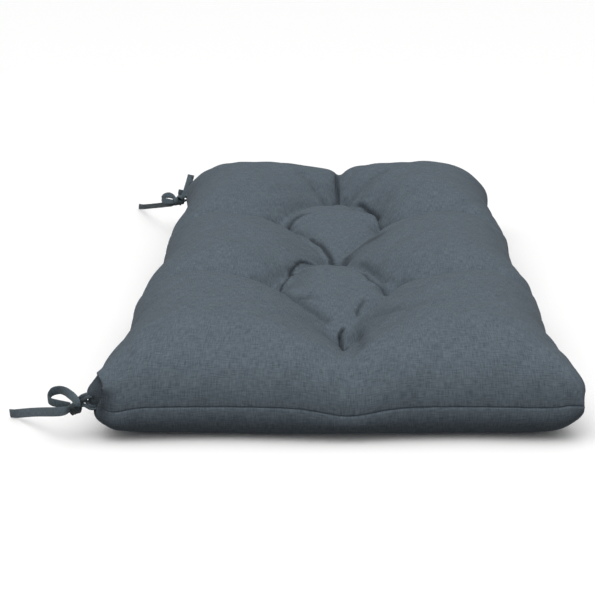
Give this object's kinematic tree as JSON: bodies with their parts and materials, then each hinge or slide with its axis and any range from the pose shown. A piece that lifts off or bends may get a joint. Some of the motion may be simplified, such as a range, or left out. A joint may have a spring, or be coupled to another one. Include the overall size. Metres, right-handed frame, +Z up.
{
  "type": "tufted bench cushion with corner ties",
  "caption": "Rectangular fibre-filled bench cushion with tufted lumps, a plain seam round its rim and knotted tie tapes at the corners of one long edge.",
  "frame": {"origin": "under the middle of the cushion, on the surface that it lies on", "axes": "+Z up out of the tufted face, +Y along the length towards the far tie, +X across the width away from the ties"},
  "size_m": [0.5963, 1.1641, 0.1288],
  "materials": {
    "cushion_fabric": "plain-woven blue-grey polyester, matt",
    "tie_tape": "narrow woven polyester tape, dark blue-grey, matt"
  },
  "bodies": {
    "root": {"cushion": "cushion_fabric", "near_strand_low": "tie_tape", "near_strand_high": "tie_tape", "near_knot": "tie_tape", "near_loop": "tie_tape", "near_tail": "tie_tape", "far_strand": "tie_tape", "far_knot": "tie_tape", "far_loop": "tie_tape", "far_tail": "tie_tape", "far_stub": "tie_tape", "far_upright": "tie_tape"}
  },
  "joints": []
}
